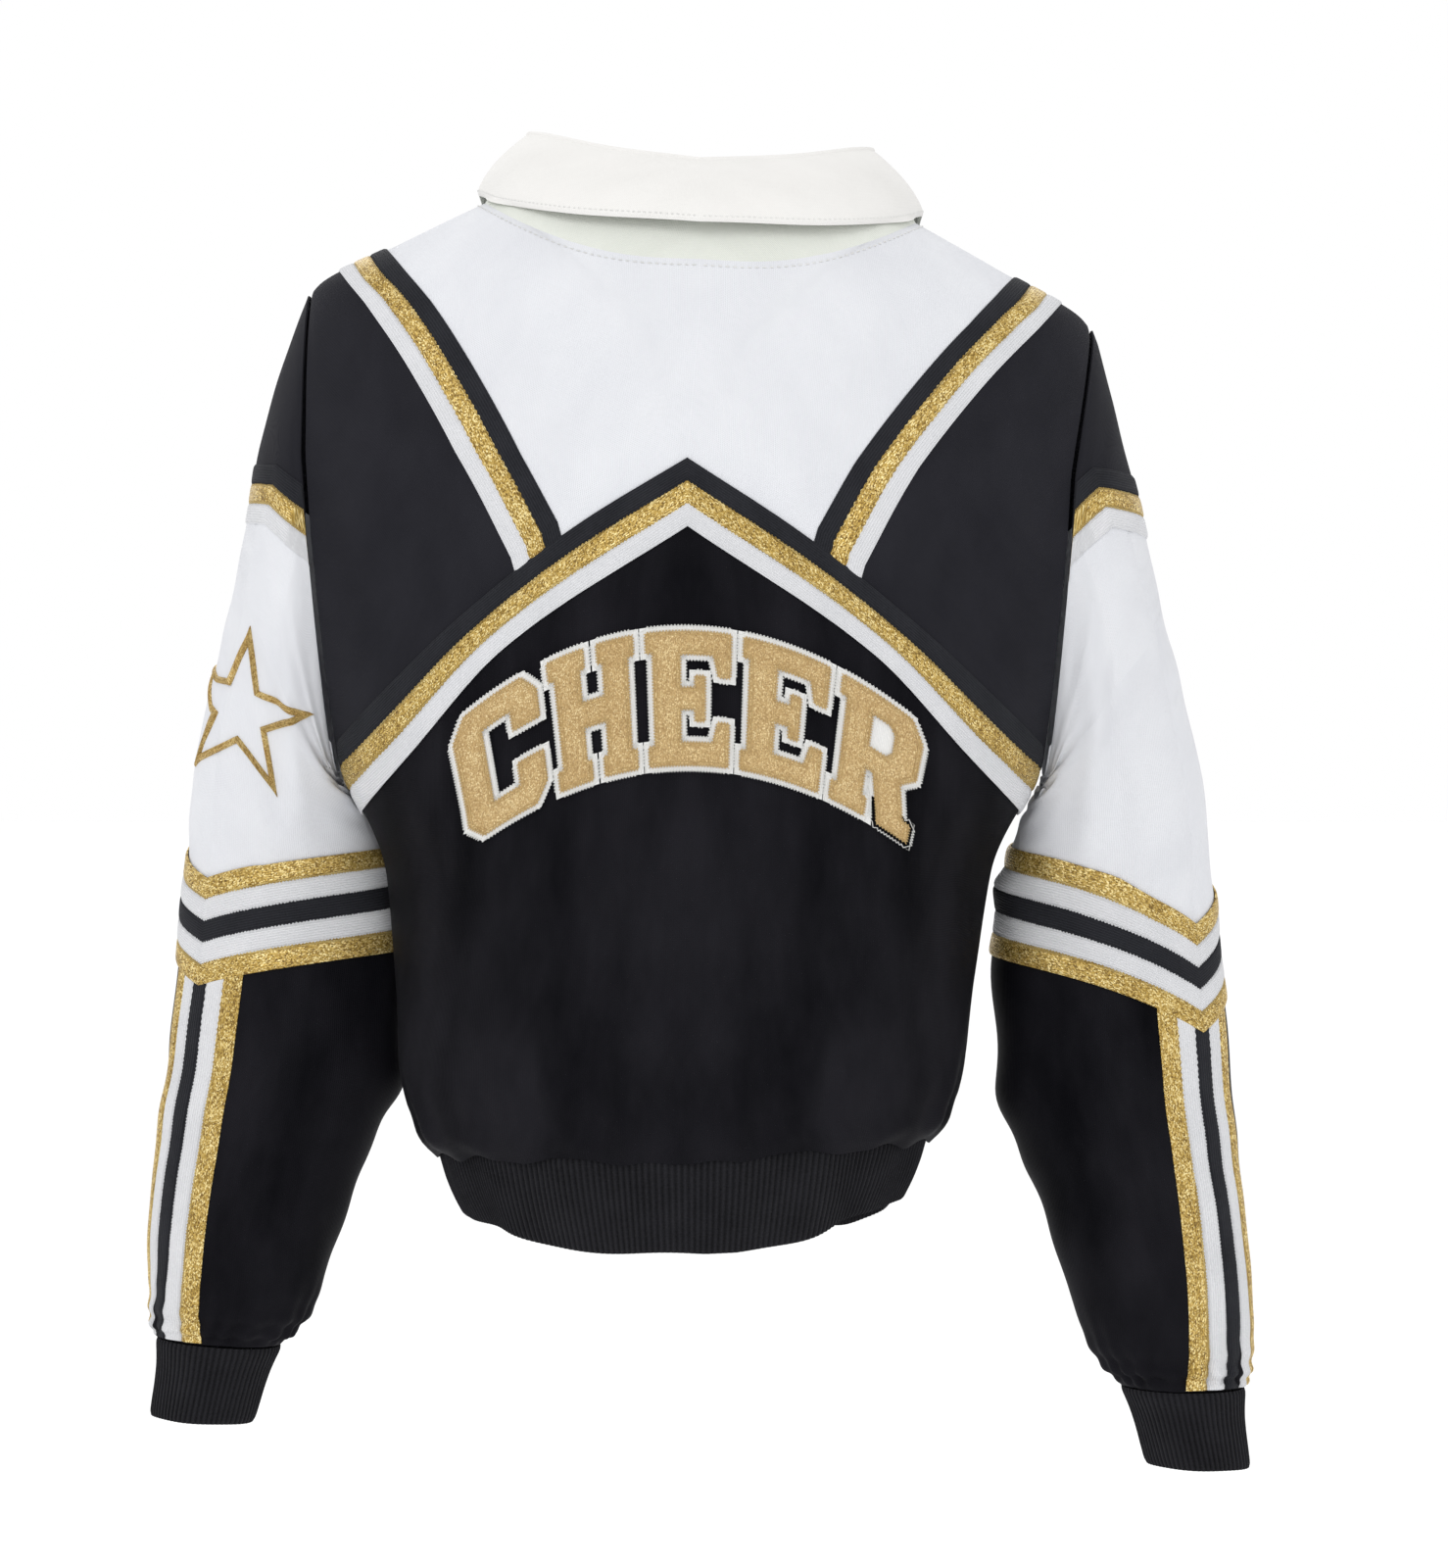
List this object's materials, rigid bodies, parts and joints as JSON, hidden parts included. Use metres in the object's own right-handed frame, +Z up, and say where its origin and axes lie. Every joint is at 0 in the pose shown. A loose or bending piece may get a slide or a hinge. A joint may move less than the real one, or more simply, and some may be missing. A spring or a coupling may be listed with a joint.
{
  "type": "cheerleading warm-up jacket",
  "caption": "Long-sleeved cheer warm-up jacket with turned-down collar, front zip, ribbed cuffs and waistband, braid trim and block lettering across the back.",
  "frame": {"origin": "centre of the neck opening at the height of the shoulder neck points", "axes": "+Z up out of the neck, the wearer faces -Y, the wearer's left arm is on +X"},
  "size_m": [0.585, 0.2263, 0.679],
  "materials": {
    "white_cloth": "smooth knit",
    "collar_lining": "smooth knit",
    "black_cloth": "smooth knit",
    "black_rib": "ribbed knit",
    "braid_trim": "ribbed metallic braid",
    "gold_twill": "glitter twill",
    "white_twill": "twill",
    "gold_embroidery": "satin stitch",
    "zipper_tape": "woven tape",
    "zipper_plastic": "moulded",
    "slider_metal": "semi-gloss"
  },
  "bodies": {
    "torso": {"back_yoke": "white_cloth", "back_side_panel_left": "black_cloth", "back_side_panel_right": "black_cloth", "back_body_panel": "black_cloth", "back_v_braid_left": "braid_trim", "back_v_braid_right": "braid_trim", "back_chevron_braid": "braid_trim", "front_yoke_left": "white_cloth", "front_yoke_right": "white_cloth", "front_side_panel_left": "black_cloth", "front_side_panel_right": "black_cloth", "front_body_panel_left": "black_cloth", "front_body_panel_right": "black_cloth", "front_v_braid_left": "braid_trim", "front_v_braid_right": "braid_trim", "front_chevron_braid_left": "braid_trim", "front_chevron_braid_right": "braid_trim", "collar_stand": "collar_lining", "collar_top_leaf": "white_cloth", "collar_under_leaf": "collar_lining", "sleeve_cap_left": "black_cloth", "sleeve_cap_right": "black_cloth", "sleeve_head_left": "white_cloth", "sleeve_head_right": "white_cloth", "sleeve_cap_braid_left": "braid_trim", "sleeve_cap_braid_right": "braid_trim", "waistband": "black_rib", "letter_c": "gold_twill", "letter_h": "gold_twill", "letter_e_first": "gold_twill", "letter_e_second": "gold_twill", "letter_r": "gold_twill", "lettering_backing": "white_twill", "zipper_tape_left": "zipper_tape", "zipper_tape_right": "zipper_tape", "zipper_teeth_left": "zipper_plastic", "zipper_teeth_right": "zipper_plastic", "zipper_top_stop_left": "zipper_plastic", "zipper_top_stop_right": "zipper_plastic", "zipper_bottom_box": "zipper_plastic"},
    "sleeve_left": {"upper_sleeve_left": "white_cloth", "elbow_braid_left": "braid_trim", "lower_sleeve_left": "black_cloth", "outseam_braid_left": "braid_trim", "cuff_left": "black_rib", "sleeve_star": "gold_embroidery"},
    "sleeve_right": {"upper_sleeve_right": "white_cloth", "elbow_braid_right": "braid_trim", "lower_sleeve_right": "black_cloth", "outseam_braid_right": "braid_trim", "cuff_right": "black_rib"},
    "zip_slider": {"zipper_slider": "slider_metal"},
    "zip_pull": {"zipper_pull": "slider_metal"}
  },
  "joints": [
    {"name": "sleeve_left_lift", "type": "hinge", "parent": "torso", "child": "sleeve_left", "pos_m": [0.2435, -0.005, -0.1955], "axis": [0, -1, 0], "range_deg": [0, 60]},
    {"name": "sleeve_right_lift", "type": "hinge", "parent": "torso", "child": "sleeve_right", "pos_m": [-0.2435, -0.005, -0.1955], "axis": [0, 1, 0], "range_deg": [0, 60]},
    {"name": "zip_slide", "type": "slide", "parent": "torso", "child": "zip_slider", "axis": [0, -0.0174, 0.9998], "range_m": [-0.436, 0]},
    {"name": "zip_pull_swing", "type": "hinge", "parent": "zip_slider", "child": "zip_pull", "pos_m": [0, -0.10872, -0.08458], "axis": [-1, 0, 0], "range_deg": [0, 150]}
  ]
}
